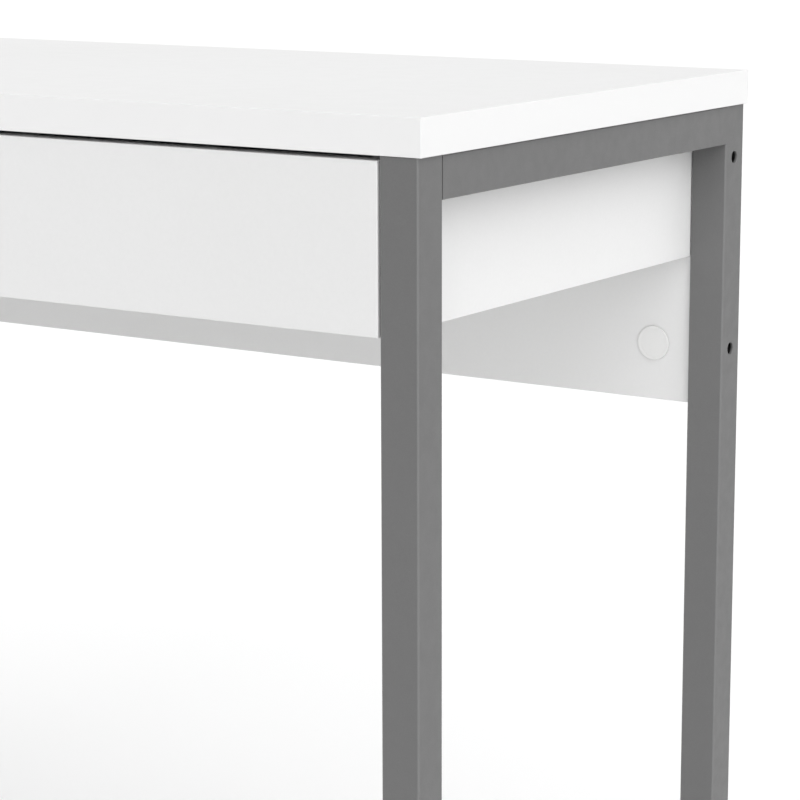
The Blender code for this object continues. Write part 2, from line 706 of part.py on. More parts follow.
def make_runner_screws(side, out, rail, panel, zinc):
    """The two screws of a case runner, in the track, thin enough for the drawer's roller to pass."""
    clearance = RUNNER_SCREW[3] + SCREW_CLEARANCE
    depth = RUNNER_SCREW[0] + 2 * OVERCUT
    places = {"front": RUNNER_START_Y + FRONT_RUNNER_SCREW, "rear": RUNNER_END_Y - REAR_RUNNER_SCREW}
    for end, y in places.items():
        seat = Vector((out * (CASE_INNER_X - 2 * GAP - RUNNER_STEEL), y, DRAWER_ROLLER_Z))
        wood_screw(f"case_runner_screw_{end}_{side}", seat, (-out, 0, 0), RUNNER_SCREW, zinc)
        mouth = seat - Vector((out * OVERCUT, 0, 0))
        for board in (rail, panel):
            hole(board, mouth, (out, 0, 0), clearance, depth, SMALL_STEPS)


def main():
    clear_scene()
    white = material("white_laminate", (0.80, 0.80, 0.79), 0.45)
    grey = material("grey_powder_coat", (0.21, 0.21, 0.21), 0.5)
    black = material("black_plastic", (0.04, 0.04, 0.04), 0.5)
    cap_white = material("white_plastic", (0.78, 0.78, 0.77), 0.4)
    nylon = material("white_nylon", (0.72, 0.72, 0.69), 0.35)
    coated = material("white_coated_steel", (0.70, 0.70, 0.68), 0.35)
    zinc = material("zinc_plated_steel", (0.62, 0.62, 0.60), 0.3, 1.0)
    hardboard = material("white_hardboard", (0.74, 0.74, 0.72), 0.6)

    carriage = bpy.data.objects.new("drawer_carriage", None)
    bpy.context.scene.collection.objects.link(carriage)
    carriage.location = (0, FRONT_FACE_Y, (CASE_BOTTOM + UNDERSIDE) / 2)

    desktop = make_desktop(white)
    legs = make_legs(grey, black)
    rails = make_side_rails(grey, zinc, desktop)
    panels = make_side_panels(white, zinc, rails)
    make_back_panel(white, zinc, cap_white, legs)
    front = make_drawer_front(white, carriage)
    make_drawer_box(white, hardboard, zinc, front, carriage)
    make_runners(coated, zinc, nylon, panels, carriage)


main()
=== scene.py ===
"""Looks of a narrow desk with a drawer under its top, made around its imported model.

Metres, +Z up. The desk stands on the floor and its drawer opens towards -Y. +X is on the right of someone who
faces the drawer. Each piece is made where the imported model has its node, from the node's lowest and highest
corner.
"""

import json
import math

import bmesh
import bpy
from mathutils import Matrix, Vector


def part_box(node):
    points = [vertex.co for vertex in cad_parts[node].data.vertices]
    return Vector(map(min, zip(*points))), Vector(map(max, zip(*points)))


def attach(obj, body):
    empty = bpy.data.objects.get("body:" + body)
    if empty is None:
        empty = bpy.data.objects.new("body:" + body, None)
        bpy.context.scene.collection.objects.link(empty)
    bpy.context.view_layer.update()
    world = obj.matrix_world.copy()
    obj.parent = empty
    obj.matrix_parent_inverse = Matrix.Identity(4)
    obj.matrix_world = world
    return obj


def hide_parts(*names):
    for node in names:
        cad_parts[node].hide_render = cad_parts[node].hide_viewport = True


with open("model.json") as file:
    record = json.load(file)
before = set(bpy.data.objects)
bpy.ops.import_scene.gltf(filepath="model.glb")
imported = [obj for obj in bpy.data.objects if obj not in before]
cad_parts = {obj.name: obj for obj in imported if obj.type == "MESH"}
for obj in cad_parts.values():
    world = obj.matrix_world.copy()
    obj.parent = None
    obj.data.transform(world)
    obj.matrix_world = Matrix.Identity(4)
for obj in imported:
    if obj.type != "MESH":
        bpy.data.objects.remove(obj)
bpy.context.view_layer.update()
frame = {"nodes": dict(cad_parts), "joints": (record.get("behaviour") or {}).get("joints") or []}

SIDES = {"left": -1, "right": 1}
ENDS = ("front", "rear")
HEIGHTS = ("upper", "lower")
X, Y, Z = 0, 1, 2
FACE_NAMES = {
    (X, -1): "left",
    (X, 1): "right",
    (Y, -1): "front",
    (Y, 1): "rear",
    (Z, -1): "bottom",
    (Z, 1): "top",
}

# How far a cutter reaches past the face it cuts, and when two places count as the same
OVERCUT = 0.001
MERGE = 0.000001
SAME_LEVEL = 0.0000001

# Sides of round bodies, and the angle in degrees from which an edge stays sharp
WHEEL_STEPS = 72
CAM_STEPS = 64
ROUND_STEPS = 40
BORE_STEPS = 32
HEXAGON_STEPS = 6
CORNER_STEPS = 6
SHARP_ANGLE = 32

# The parts of a noise texture's range that hold the middle and most of its values
MIDDLE = (0.35, 0.65)
MOST = (0.3, 0.7)

# Boards: a core with a laminate on both faces, and a plastic band on each edge that shows
BAND = 0.001
BAND_ROUND = 0.0004
SEAM = 0.00006
SHEET_BOARD_EDGE = 0.0002

# Room around the cams and around the drawer's bottom in its grooves
FIT_CLEARANCE = 0.0003

# Square steel tubes. The painted highlight finish is the number of the frame's second material, a lighter
# grey that paints a highlight on the legs' round corners.
TUBE_WALL = 0.0015
TUBE_CORNER = 0.001
TUBE_BORE_CORNER = 0.0004
TUBE_CORNER_STEPS = 5
PAINTED_HIGHLIGHT_FINISH = 1

# Holes in the rear legs: wide outside for a screwdriver, narrow inside for the bolt
ACCESS_RADIUS = 0.004
ACCESS_EDGE = 0.0003
SHANK_CLEARANCE = 0.0023

# Floor glides: rings in the sole as (inner radius, outer radius, sides)
SOLE_RINGS = ((0.0080, 0.0088, 40), (0.0030, 0.0036, 24))
SOLE_RING_DEPTH = 0.0004
PAD_EDGE = 0.0008
PAD_GAP = 0.0003
PLUG_GAP = 0.0003
PLUG_CORNER = 0.0004
PLUG_OVERLAP = 0.0002

# Caps over the cams: the ring's place is a share of the radius, the other shares are of the thickness
CAP_RING = 0.82
CAP_RING_WIDTH = 0.0004
CAP_RIM = 0.55
CAP_MIDDLE = 0.94
CAP_FACE = 0.97
CAP_GROOVE = 0.85

# Cross recesses: the taper is the size at the bottom as a share of that at the top. In a screw, the reach and
# the width are shares of the head's radius, the depth and the head's straight rim are shares of its height.
RECESS_TAPER = 0.6
SCREW_RECESS_REACH = 0.55
SCREW_RECESS_WIDTH = 0.22
SCREW_RECESS_DEPTH = 0.8
HEAD_RIM = 0.35

# Screws: head radius, head height, shank radius, length. Places are shares along the board or the runner.
DESKTOP_SCREW = (0.0042, 0.0024, 0.0022, 0.038)
PANEL_SCREW = (0.0040, 0.0022, 0.0020, 0.025)
RUNNER_SCREW = (0.0035, 0.0010, 0.0017, 0.014)
BACK_SCREW = (0.0036, 0.0003, 0.0018, 0.030)
FOOT_SCREW = (0.0030, 0.0010, 0.0015, 0.012)
BACK_SCREW_PLACES = {"lower": 0.36, "upper": 0.78}
FOOT_SCREW_PLACES = {"front": 0.12, "middle": 0.5, "rear": 0.85}

# Bolts with a hexagon socket
BOLT_HEAD = 0.004
BOLT_EDGE = 0.0004
BOLT_SHANK_SHARE = 0.57
SOCKET_RADIUS = 0.0017
SOCKET_DEPTH = 0.0022
SOCKET_TIP = 0.0004

# Cams in the drawer's sides. The ring in the face has its two slopes between shares of the radius.
CAM_EDGE = 0.0002
CAM_STEP = 0.0003
CAM_RING = (0.72, 0.76, 0.9, 0.94)
CAM_RECESS_REACH = 0.52
CAM_RECESS_WIDTH = 0.2
CAM_RECESS_DEPTH = 0.0022

# Bent steel of the runners
SHEET = 0.0012
BEND = 0.0006
BEND_STEPS = 4
SLOT_LENGTH = 0.009
SLOT_WIDTH = 0.004
SLOT_ROUND = 0.001998
SLOT_STEPS = 8
CASE_SLOTS = (0.22, 0.40, 0.58, 0.94)
DRAWER_SLOTS = (0.08, 0.3, 0.62, 0.8)
TONGUE_STEPS = 16
BOARD_GAP = 0.0003

# The lug that stops the drawer: its ends are distances from the web, its room is the gap to the roller
STOP_DROP = 0.003
STOP_ENDS = (0.0026, 0.0085)
STOP_SLOPE = 0.002
STOP_EDGE = 0.0002
STOP_ROOM = 0.0003

# Rollers, and the rivets that they turn on. The tread's groove: (depth, half width) at its rim and its floor.
ROLLER_BORE = 0.0021
ROLLER_HUB_WALL = 0.0016
ROLLER_RIM_WALL = 0.0018
ROLLER_DISH = 0.0009
ROLLER_EDGE = 0.0005
ROLLER_STEP = 0.0002
ROLLER_GROOVE = [(0, 0.0004), (0.00025, 0.0001)]
PIN_RADIUS = 0.002
PIN_HEAD = 0.0008
PIN_EDGE = 0.0003
PIN_DOME_ANGLES = (0.5, 0.9, 1.25)

# Soft buttons that the drawer front closes against. Their roundness is a share of their height.
BUTTON_RADIUS = 0.004
BUTTON_HEIGHT = 0.0014
BUTTON_ROUND = 0.8

# The camera: its place from the top's front right lower corner, and its turns in degrees
CAMERA_FROM_CORNER = (0.7774, -1.2123, 0.1555)
CAMERA_HEADING = 33.13
CAMERA_TILT = -11.297
CAMERA_ROLL = -0.16
CAMERA_LENS = 120.8

# Studio: directions point from the desk to the light, and softness is a light's width in degrees. The walls
# get brighter over a range of cosines to the direction behind.
AMBIENT = 0.27
BACK_AMBIENT = 0.9
BACK_DIRECTION = (-0.5, 0.85, 0.1)
BACK_RANGE = (-0.3, 0.9)
KEY_DIRECTION = (0.335, -0.28, 0.37)
KEY_STRENGTH = 2.85
KEY_SOFTNESS = 75
TOP_DIRECTION = (0, 0, 1)
TOP_STRENGTH = 0.16
TOP_SOFTNESS = 60
FLOOR_REACH = 30

# Tones of the white boards, the grey frame and the floor, and how much lighter the painted highlight on the
# legs' corners is
WHITE = 0.77
FRAME_GREY = 0.133
CORNER_HIGHLIGHT_TONE = 1.2
FLOOR = 0.94


# ---- finishes ----


def start_finish(name, roughness, metallic=0.0):
    """A material with its shader and the coordinates that its texture uses: metres on the object itself."""
    finish = bpy.data.materials.new(name)
    finish.use_nodes = True
    tree = finish.node_tree
    shader = tree.nodes["Principled BSDF"]
    shader.inputs["Roughness"].default_value = roughness
    shader.inputs["Metallic"].default_value = metallic
    place = tree.nodes.new("ShaderNodeTexCoord").outputs["Object"]
    return finish, tree, shader, place


def noise(tree, place, scale, detail, stretch=(1, 1, 1)):
    mapping = tree.nodes.new("ShaderNodeMapping")
    mapping.inputs["Scale"].default_value = stretch
    tree.links.new(place, mapping.inputs["Vector"])
    texture = tree.nodes.new("ShaderNodeTexNoise")
    texture.inputs["Scale"].default_value = scale
    texture.inputs["Detail"].default_value = detail
    tree.links.new(mapping.outputs["Vector"], texture.inputs["Vector"])
    return texture.outputs["Fac"]


def cells(tree, place, scale):
    texture = tree.nodes.new("ShaderNodeTexVoronoi")
    texture.feature = "SMOOTH_F1"
    texture.inputs["Scale"].default_value = scale
    tree.links.new(place, texture.inputs["Vector"])
    return texture.outputs["Distance"]


def spread(tree, value, source, target):
    """The value moved from one range to another and held inside it."""
    node = tree.nodes.new("ShaderNodeMapRange")
    node.inputs["From Min"].default_value, node.inputs["From Max"].default_value = source
    node.inputs["To Min"].default_value, node.inputs["To Max"].default_value = target
    tree.links.new(value, node.inputs["Value"])
    return node.outputs["Result"]


def shade_between(tree, factor, first, second):
    node = tree.nodes.new("ShaderNodeMix")
    node.data_type = "RGBA"
    tree.links.new(factor, node.inputs["Factor"])
    node.inputs["A"].default_value = (*first, 1)
    node.inputs["B"].default_value = (*second, 1)
    return node.outputs["Result"]


def darken(tree, colour, factor):
    node = tree.nodes.new("ShaderNodeMix")
    node.data_type = "RGBA"
    node.blend_type = "MULTIPLY"
    node.inputs["Factor"].default_value = 1
    tree.links.new(colour, node.inputs["A"])
    tree.links.new(factor, node.inputs["B"])
    return node.outputs["Result"]


def paint(tree, shader, colour):
    tree.links.new(colour, shader.inputs["Base Color"])


def vary_roughness(tree, shader, place, scale, detail, target):
    """Lets the roughness drift over the target range."""
    texture = noise(tree, place, scale, detail)
    tree.links.new(spread(tree, texture, MOST, target), shader.inputs["Roughness"])


def relief(tree, shader, height, depth):
    """Raises the surface by the height, whose full range is the depth in metres."""
    bump = tree.nodes.new("ShaderNodeBump")
    bump.inputs["Distance"].default_value = depth
    tree.links.new(height, bump.inputs["Height"])
    tree.links.new(bump.outputs["Normal"], shader.inputs["Normal"])


def grey_shade(level):
    return (level, level, level)


def laminate(name, tone):
    """White melamine: a fine pearl relief, and a tone that drifts a little across the board."""
    finish, tree, shader, place = start_finish(name, 0.5)
    drift = spread(tree, noise(tree, place, scale=3.5, detail=3), MIDDLE, (0, 1))
    dark = (tone * 0.985, tone * 0.985, tone * 0.983)
    colour = shade_between(tree, drift, dark, grey_shade(tone))
    fibres = spread(tree, noise(tree, place, scale=420, detail=4), MOST, (0.985, 1))
    paint(tree, shader, darken(tree, colour, fibres))
    vary_roughness(tree, shader, place, scale=60, detail=3, target=(0.45, 0.55))
    relief(tree, shader, cells(tree, place, scale=1100), depth=0.00001)
    return finish


def edge_band(name, tone):
    """Plastic edge band: smoother than the faces, with fine marks along it from the trimming."""
    finish, tree, shader, place = start_finish(name, 0.35)
    drift = spread(tree, noise(tree, place, scale=9, detail=2), MIDDLE, (0.985, 1))
    paint(tree, shader, shade_between(tree, drift, grey_shade(tone * 0.98), grey_shade(tone)))
    vary_roughness(tree, shader, place, scale=90, detail=3, target=(0.34, 0.4))
    marks = noise(tree, place, scale=700, detail=2, stretch=(0.08, 0.08, 1))
    relief(tree, shader, marks, depth=0.000008)
    return finish


def powder_coat(name, tone):
    """Grey powder coat: an orange peel relief with fine lighter and darker grains."""
    finish, tree, shader, place = start_finish(name, 0.5)
    grains = spread(tree, noise(tree, place, scale=2600, detail=2), MIDDLE, (0, 1))
    base = shade_between(tree, grains, grey_shade(tone * 0.95), grey_shade(tone * 1.05))
    drift = spread(tree, noise(tree, place, scale=7, detail=3), MOST, (0.975, 1))
    paint(tree, shader, darken(tree, base, drift))
    vary_roughness(tree, shader, place, scale=120, detail=3, target=(0.44, 0.56))
    relief(tree, shader, noise(tree, place, scale=950, detail=2), depth=0.000025)
    return finish


def coated_steel(name):
    """White epoxy coat on the runners: glossy, with a soft waviness."""
    finish, tree, shader, place = start_finish(name, 0.36)
    drift = spread(tree, noise(tree, place, scale=14, detail=3), MIDDLE, (0, 1))
    paint(tree, shader, shade_between(tree, drift, (0.705, 0.705, 0.69), (0.73, 0.73, 0.72)))
    relief(tree, shader, noise(tree, place, scale=950, detail=2), depth=0.00001)
    return finish


def zinc_plate(name, tone):
    """Zinc plated steel: cloudy, faintly blue and yellow, with drawn marks."""
    finish, tree, shader, place = start_finish(name, 0.3, metallic=1.0)
    clouds = spread(tree, noise(tree, place, scale=260, detail=3), MIDDLE, (0, 1))
    cool = (tone * 0.93, tone * 0.97, tone)
    warm = (tone, tone * 0.97, tone * 0.88)
    paint(tree, shader, shade_between(tree, clouds, cool, warm))
    vary_roughness(tree, shader, place, scale=900, detail=3, target=(0.32, 0.42))
    marks = noise(tree, place, scale=2200, detail=2, stretch=(1, 0.2, 1))
    relief(tree, shader, marks, depth=0.000015)
    return finish


def moulded(name, colour, roughness, grain_scale, grain_depth):
    """Moulded plastic with an eroded grain and faint flow marks."""
    finish, tree, shader, place = start_finish(name, roughness)
    flow = spread(tree, noise(tree, place, scale=45, detail=3, stretch=(1, 1, 0.4)), MIDDLE, (0, 1))
    deep = tuple(level * 0.95 for level in colour)
    paint(tree, shader, shade_between(tree, flow, deep, colour))
    sheen = (roughness - 0.06, roughness + 0.06)
    vary_roughness(tree, shader, place, scale=300, detail=2, target=sheen)
    relief(tree, shader, noise(tree, place, grain_scale, detail=3), grain_depth)
    return finish


def hardboard(name):
    """Thin board with a white lacquer over pressed fibres."""
    finish, tree, shader, place = start_finish(name, 0.5)
    fibres = spread(tree, noise(tree, place, scale=260, detail=5, stretch=(0.25, 1, 1)), MIDDLE, (0, 1))
    paint(tree, shader, shade_between(tree, fibres, (0.70, 0.70, 0.69), (0.72, 0.72, 0.71)))
    vary_roughness(tree, shader, place, scale=80, detail=3, target=(0.44, 0.6))
    pressed = noise(tree, place, scale=520, detail=4, stretch=(0.3, 1, 1))
    relief(tree, shader, pressed, depth=0.000008)
    return finish


def pale_floor(name):
    finish, tree, shader, place = start_finish(name, 0.9)
    shader.inputs["Specular IOR Level"].default_value = 0.1
    drift = spread(tree, noise(tree, place, scale=0.8, detail=2), MOST, (0, 1))
    paint(tree, shader, shade_between(tree, drift, grey_shade(FLOOR - 0.01), grey_shade(FLOOR)))
    return finish


# ---- making one piece ----


def add_object(name, bm):
    """An object in the scene with the bmesh as its mesh."""
    bmesh.ops.recalc_face_normals(bm, faces=bm.faces)
    mesh = bpy.data.meshes.new(name)
    bm.to_mesh(mesh)
    bm.free()
    made = bpy.data.objects.new(name, mesh)
    bpy.context.scene.collection.objects.link(made)
    return made


def new_piece(name, bm, finish, body, replaced=(), cutters=None):
    """A piece from a bmesh in world coordinates. The cutters are a second bmesh, taken away from it."""
    piece = add_object(name, bm)
    if cutters:
        cut_away(piece, cutters)
    piece.data.name = name
    give_finish(piece.data, finish)
    soften(piece.data)
    weighted = piece.modifiers.new("even_normals", "WEIGHTED_NORMAL")
    weighted.keep_sharp = True
    settle(piece, body, replaced)


def give_finish(mesh, finish):
    """Gives the mesh one material, or several that its faces already have numbers for."""
    finishes = finish if isinstance(finish, list) else [finish]
    numbers = [face.material_index for face in mesh.polygons]
    mesh.materials.clear()
    for material in finishes:
        mesh.materials.append(material)
    mesh.polygons.foreach_set("material_index", numbers)


def soften(mesh):
    """Smooth shading, except over the sharp edges."""
    mesh.shade_smooth()
    mesh.set_sharp_from_angle(angle=math.radians(SHARP_ANGLE))


def settle(piece, body, replaced=()):
    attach(piece, body)
    if replaced:
        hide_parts(*replaced)


def cut_away(piece, cutters):
    """Cuts the piece and keeps the result as its mesh."""
    cutter = add_object("cutter", cutters)
    step = piece.modifiers.new("cut", "BOOLEAN")
    step.operation = "DIFFERENCE"
    step.object = cutter
    bpy.context.view_layer.update()
    depsgraph = bpy.context.evaluated_depsgraph_get()
    made = bpy.data.meshes.new_from_object(piece.evaluated_get(depsgraph))
    piece.modifiers.clear()
    spent = (piece.data, cutter.data)
    piece.data = made
    bpy.data.objects.remove(cutter)
    for mesh in spent:
        bpy.data.meshes.remove(mesh)


def outer_and_inner(low, high, out):
    """The two ends of a box along X: first the one away from the desk's middle."""
    return (high.x, low.x) if out > 0 else (low.x, high.x)


def centre_of(node):
    low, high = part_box(node)
    return (low + high) / 2


def add_box(bm, low, high):
    low, high = Vector(low), Vector(high)
    verts = bmesh.ops.create_cube(bm, size=1)["verts"]
    bmesh.ops.scale(bm, vec=high - low, verts=verts)
    bmesh.ops.translate(bm, vec=(low + high) / 2, verts=verts)


def turn_to(direction):
    return Vector(direction).to_track_quat("Z", "Y").to_matrix().to_4x4()


def add_turned(bm, profile, place, direction, steps):
    """Adds a round body: the outline (radius, height) turned about the direction, from the place."""
    before = set(bm.verts)
    first = [bm.verts.new((radius, 0, height)) for radius, height in profile]
    edges = [bm.edges.new(pair) for pair in zip(first, first[1:])]
    bmesh.ops.spin(bm, geom=first + edges, axis=(0, 0, 1), angle=math.tau, steps=steps, use_merge=True)
    made = [vert for vert in bm.verts if vert not in before]
    bmesh.ops.transform(bm, matrix=Matrix.Translation(place) @ turn_to(direction), verts=made)
    bmesh.ops.remove_doubles(bm, verts=made, dist=MERGE)


def turned(profile, place, direction, steps):
    bm = bmesh.new()
    add_turned(bm, profile, place, direction, steps)
    return bm


def add_ring(bm, outline, axis, level):
    """Vertices along an outline that is drawn in the two other axes, at the level on this one."""
    first, second = [other for other in (X, Y, Z) if other != axis]
    ring = []
    for point in outline:
        place = Vector()
        place[first], place[second], place[axis] = point[0], point[1], level
        ring.append(bm.verts.new(place))
    return ring


def join_rings(bm, one, other):
    return [bm.faces.new((one[i - 1], one[i], other[i], other[i - 1])) for i in range(len(one))]


def add_prism(bm, outline, axis, start, end):
    """Adds an outline, drawn in the two other axes, run along the axis from start to end."""
    first = add_ring(bm, outline, axis, start)
    second = add_ring(bm, outline, axis, end)
    bm.faces.new(first)
    bm.faces.new(second)
    join_rings(bm, first, second)


def arc(centre, radius, start, end, steps):
    """Points along an arc, with its angles in degrees."""
    points = []
    for step in range(steps + 1):
        angle = math.radians(start + (end - start) * step / steps)
        points.append((centre[0] + radius * math.cos(angle), centre[1] + radius * math.sin(angle)))
    return points


def rounded_rectangle(low, high, radius, steps):
    """Points around a rectangle. The first point of each round corner ends a straight side."""
    inner_low = (low[0] + radius, low[1] + radius)
    inner_high = (high[0] - radius, high[1] - radius)
    points = arc((inner_high[0], inner_high[1]), radius, 0, 90, steps)
    points += arc((inner_low[0], inner_high[1]), radius, 90, 180, steps)
    points += arc((inner_low[0], inner_low[1]), radius, 180, 270, steps)
    points += arc((inner_high[0], inner_low[1]), radius, 270, 360, steps)
    return points


def add_bore(cutters, mouth, direction, radius, depth, edge=0.0):
    """A round cutter from the mouth on the surface. The edge widens it there, as a broken edge does."""
    mouth_radius = radius + edge + OVERCUT if edge else radius
    profile = [(0, OVERCUT), (mouth_radius, OVERCUT), (radius, -edge), (radius, -depth), (0, -depth)]
    add_turned(cutters, profile, mouth, -Vector(direction), BORE_STEPS)


def bevel_edges(bm, chosen, width, steps):
    bmesh.ops.bevel(
        bm, geom=chosen, offset=width, offset_type="OFFSET", segments=steps, profile=0.5, affect="EDGES"
    )


def edges_at(bm, axis, level):
    """The edges that lie at one level of the axis."""
    return [edge for edge in bm.edges if all(abs(v.co[axis] - level) < SAME_LEVEL for v in edge.verts)]


# ---- boards ----


def banded_board(looks, kind, node, body, edges, cutters=None):
    """A board in place of a node: its core, and a band on each edge named as (axis, side).

    Bands named first run the whole way, and the later ones fit between them.
    """
    low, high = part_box(node)
    for axis, side in edges:
        band_low, band_high = low.copy(), high.copy()
        if side > 0:
            high[axis] -= BAND
            band_low[axis] = high[axis]
        else:
            low[axis] += BAND
            band_high[axis] = low[axis]
        name = f"{node}_band_{FACE_NAMES[axis, side]}"
        make_band(name, band_low, band_high, axis, side, looks[f"{kind}_band"], body)
    bm = bmesh.new()
    add_box(bm, low, high)
    bevel_edges(bm, list(bm.edges), SEAM, 1)
    new_piece(f"{node}_board", bm, looks[kind], body, [node], cutters)


def make_band(name, low, high, axis, side, finish, body):
    """A strip of band: its outer face has round edges, its inner face a fine chamfer at the seam."""
    bm = bmesh.new()
    add_box(bm, low, high)
    outer, inner = (high[axis], low[axis]) if side > 0 else (low[axis], high[axis])
    bevel_edges(bm, edges_at(bm, axis, outer), BAND_ROUND, 4)
    bevel_edges(bm, edges_at(bm, axis, inner), SEAM, 1)
    new_piece(name, bm, finish, body)


def make_desktop(looks):
    banded_board(looks, "top", "desktop", "desk", [(Y, -1), (Y, 1), (X, -1), (X, 1)])


def make_side_panels(looks):
    for side in SIDES:
        edges = [(Z, -1), (Z, 1), (Y, -1), (Y, 1)]
        banded_board(looks, "panel", f"side_panel_{side}", "desk", edges)


def make_back_panel(looks):
    """The panel has a pocket for each cam and a bore for its bolt."""
    low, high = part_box("back_panel")
    middle_y = (low.y + high.y) / 2
    cutters = bmesh.new()
    for side, out in SIDES.items():
        end, _ = outer_and_inner(low, high, out)
        for height in HEIGHTS:
            cam_low, cam_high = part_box(f"back_panel_cam_{height}_{side}")
            middle = (cam_low + cam_high) / 2
            radius = (cam_high.x - cam_low.x) / 2 + FIT_CLEARANCE
            depth = cam_high.y - low.y + FIT_CLEARANCE
            add_bore(cutters, (middle.x, low.y, middle.z), (0, 1, 0), radius, depth)
            mouth = (end, middle_y, middle.z)
            add_bore(cutters, mouth, (-out, 0, 0), SHANK_CLEARANCE, abs(end - middle.x))
    banded_board(looks, "back", "back_panel", "desk", [(Z, -1), (Z, 1), (X, -1), (X, 1)], cutters)


def bottom_groove():
    """The box of the drawer's bottom with a little room all round: the groove in the boards around it."""
    low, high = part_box("drawer_bottom")
    room = Vector((FIT_CLEARANCE, FIT_CLEARANCE, FIT_CLEARANCE))
    return low - room, high + room


def make_drawer_front(looks):
    """Bands all round, and a groove behind for the bottom."""
    groove_low, groove_high = bottom_groove()
    groove_high.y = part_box("drawer_front")[1].y + OVERCUT
    cutters = bmesh.new()
    add_box(cutters, groove_low, groove_high)
    banded_board(looks, "front", "drawer_front", "drawer", [(Z, -1), (Z, 1), (X, -1), (X, 1)], cutters)


def make_drawer_sides(looks):
    """Each side has a groove for the bottom and a pocket for its cam."""
    groove_low, groove_high = bottom_groove()
    for side, out in SIDES.items():
        node = f"drawer_side_{side}"
        low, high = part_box(node)
        _, inner = outer_and_inner(low, high, out)
        groove_end, _ = outer_and_inner(groove_low, groove_high, out)
        start, end = sorted((inner - out * OVERCUT, groove_end))
        cutters = bmesh.new()
        add_box(cutters, (start, low.y - OVERCUT, groove_low.z), (end, high.y + OVERCUT, groove_high.z))
        cam_low, cam_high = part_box(f"drawer_cam_{side}")
        cam_end, _ = outer_and_inner(cam_low, cam_high, out)
        middle = (cam_low + cam_high) / 2
        radius = (cam_high.z - cam_low.z) / 2 + FIT_CLEARANCE
        depth = abs(cam_end - inner) + FIT_CLEARANCE
        add_bore(cutters, (inner, middle.y, middle.z), (out, 0, 0), radius, depth, CAM_EDGE)
        banded_board(looks, "panel", node, "drawer", [(Z, 1), (Y, 1)], cutters)


def make_drawer_inside(looks):
    """The drawer's back, its thin bottom, and the stiffener under that."""
    banded_board(looks, "panel", "drawer_back", "drawer", [(Z, 1), (Z, -1)])
    banded_board(looks, "panel", "drawer_stiffener", "drawer", [(X, -1), (X, 1)])
    bm = bmesh.new()
    add_box(bm, *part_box("drawer_bottom"))
    bevel_edges(bm, list(bm.edges), SHEET_BOARD_EDGE, 1)
    new_piece("drawer_bottom_sheet", bm, looks["hardboard"], "drawer", ["drawer_bottom"])


# ---- steel frame ----


def add_tube(bm, low, high, axis):
    """A square tube with round corners, open at both ends, that fills the box.

    Upright tubes catch the light on their corners, so the faces there have the frame's second finish, a
    lighter grey that paints this highlight.
    """
    first, second = [other for other in (X, Y, Z) if other != axis]
    flat_low, flat_high = (low[first], low[second]), (high[first], high[second])
    bore_low = tuple(value + TUBE_WALL for value in flat_low)
    bore_high = tuple(value - TUBE_WALL for value in flat_high)
    outside = rounded_rectangle(flat_low, flat_high, TUBE_CORNER, TUBE_CORNER_STEPS)
    inside = rounded_rectangle(bore_low, bore_high, TUBE_BORE_CORNER, TUBE_CORNER_STEPS)
    outer_start = add_ring(bm, outside, axis, low[axis])
    outer_end = add_ring(bm, outside, axis, high[axis])
    inner_end = add_ring(bm, inside, axis, high[axis])
    inner_start = add_ring(bm, inside, axis, low[axis])
    for number, face in enumerate(join_rings(bm, outer_start, outer_end)):
        # Painted highlight: the round corners of upright tubes get the lighter grey.
        if axis == Z and number % (TUBE_CORNER_STEPS + 1):
            face.material_index = PAINTED_HIGHLIGHT_FINISH
    join_rings(bm, outer_end, inner_end)
    join_rings(bm, inner_end, inner_start)
    join_rings(bm, inner_start, outer_start)


def make_legs(looks):
    for end in ENDS:
        for side, out in SIDES.items():
            node = f"leg_{end}_{side}"
            low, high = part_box(node)
            bm = bmesh.new()
            add_tube(bm, low, high, Z)
            cutters = rear_leg_holes(low, high, side, out) if end == "rear" else None
            new_piece(f"{node}_tube", bm, looks["frame"], "desk", [node], cutters)


def rear_leg_holes(low, high, side, out):
    """Each bolt's hole goes through both walls: the outer one for its head, the inner one for its shank."""
    outer, inner = outer_and_inner(low, high, out)
    depth = 3 * TUBE_WALL
    cutters = bmesh.new()
    for height in HEIGHTS:
        middle = centre_of(f"back_panel_bolt_{height}_{side}")
        outside = (outer, middle.y, middle.z)
        add_bore(cutters, outside, (-out, 0, 0), ACCESS_RADIUS, depth, ACCESS_EDGE)
        inside = (inner + out * depth, middle.y, middle.z)
        add_bore(cutters, inside, (-out, 0, 0), SHANK_CLEARANCE, depth + OVERCUT)
    return cutters


def make_side_rails(looks):
    """Each rail is welded to the rear leg and ground flush, and meets the front leg at a fine joint."""
    for side in SIDES:
        node = f"side_rail_{side}"
        low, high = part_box(node)
        high.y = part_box(f"leg_rear_{side}")[0].y + TUBE_CORNER
        bm = bmesh.new()
        add_tube(bm, low, high, Y)
        new_piece(f"{node}_tube", bm, looks["frame"], "desk", [node])


def make_glides(looks):
    """Plastic feet: a pad under each leg, and a plug from the pad up into the tube."""
    pad_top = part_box("leg_front_left")[0].z - PAD_GAP
    inset = TUBE_WALL + PLUG_GAP
    for end in ENDS:
        for side in SIDES:
            node = f"floor_glide_{end}_{side}"
            low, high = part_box(node)
            make_glide_pad(looks, node, low, high, pad_top)
            plug_low, plug_high = (low.x + inset, low.y + inset), (high.x - inset, high.y - inset)
            outline = rounded_rectangle(plug_low, plug_high, PLUG_CORNER, 2)
            plug = bmesh.new()
            add_prism(plug, outline, Z, pad_top - PLUG_OVERLAP, high.z)
            new_piece(f"{node}_plug", plug, looks["glide"], "desk")


